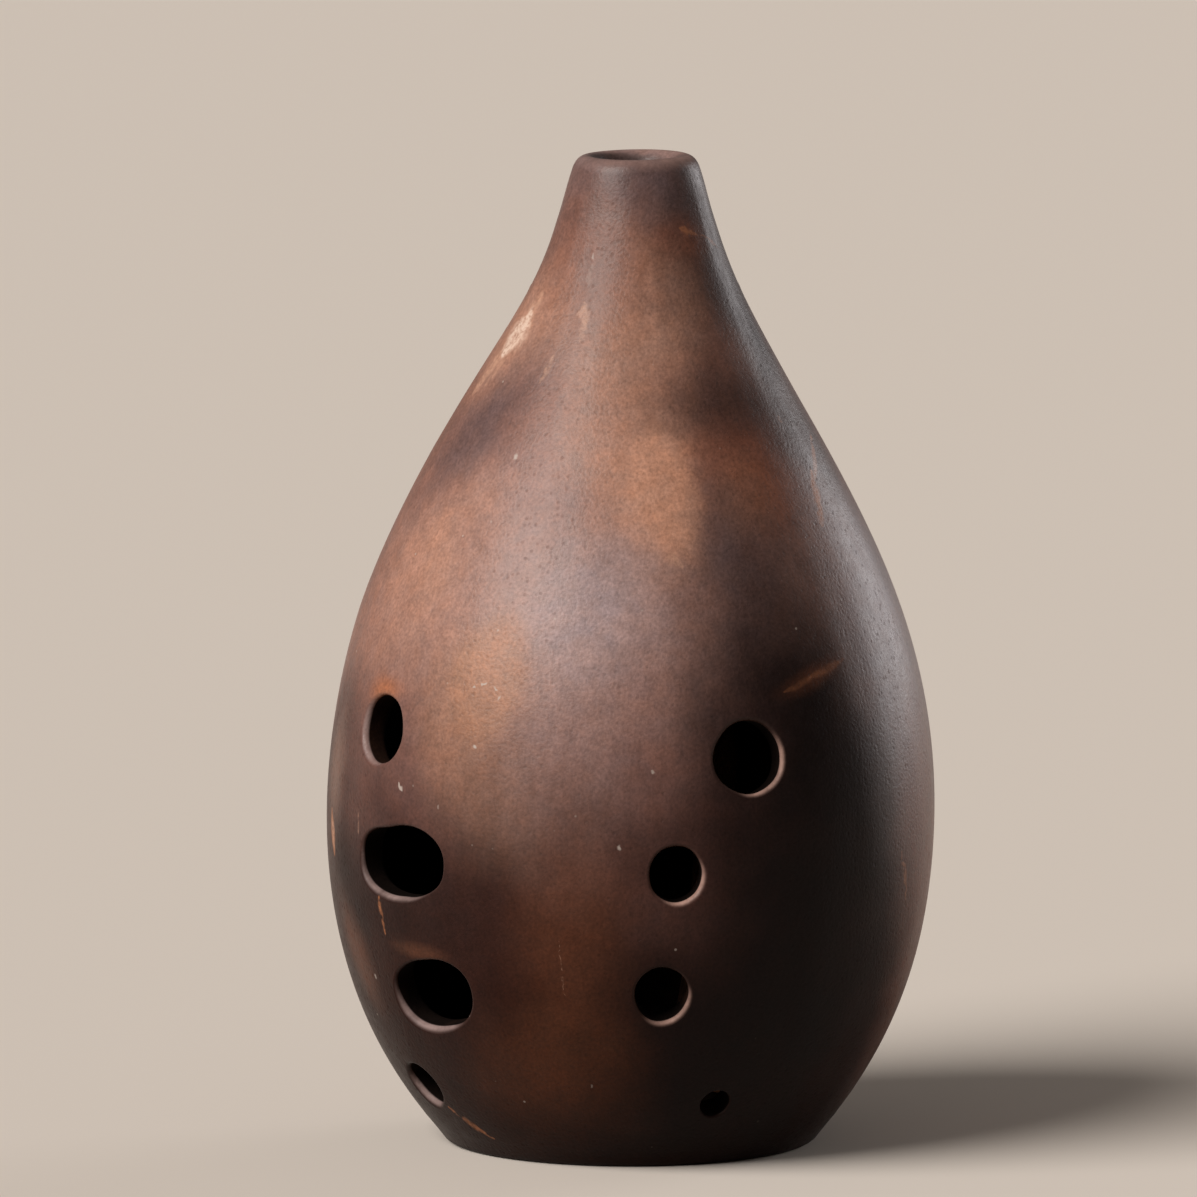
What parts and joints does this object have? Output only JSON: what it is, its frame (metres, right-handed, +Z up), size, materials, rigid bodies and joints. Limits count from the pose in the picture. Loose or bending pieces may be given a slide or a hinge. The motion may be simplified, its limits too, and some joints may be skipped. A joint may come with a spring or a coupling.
{
  "type": "xun vessel flute",
  "caption": "Pear-shaped smoke-fired clay vessel flute with a tapering neck, a rounded blowing hole on top, plain finger and thumb holes and a flat foot.",
  "frame": {"origin": "middle of the flat foot that the vessel stands on", "axes": "+Z up along the vessel's axis to the blowing hole; the four pairs of finger holes face -Y; +X is the viewer's right from the front"},
  "size_m": [0.088, 0.088, 0.143],
  "materials": {
    "smoked_clay": "burnished, unglazed, satin, clouded by smoke from orange-brown to near black",
    "raw_clay": "unburnished, matt, finger-smoothed"
  },
  "bodies": {
    "root": {"mouthpiece_neck": "smoked_clay", "left_half_shell": "smoked_clay", "right_half_shell": "smoked_clay", "base_disc": "smoked_clay", "neck_joint_coil": "raw_clay", "base_joint_coil": "raw_clay", "front_seam_coil": "raw_clay", "rear_seam_coil": "raw_clay"}
  },
  "joints": []
}
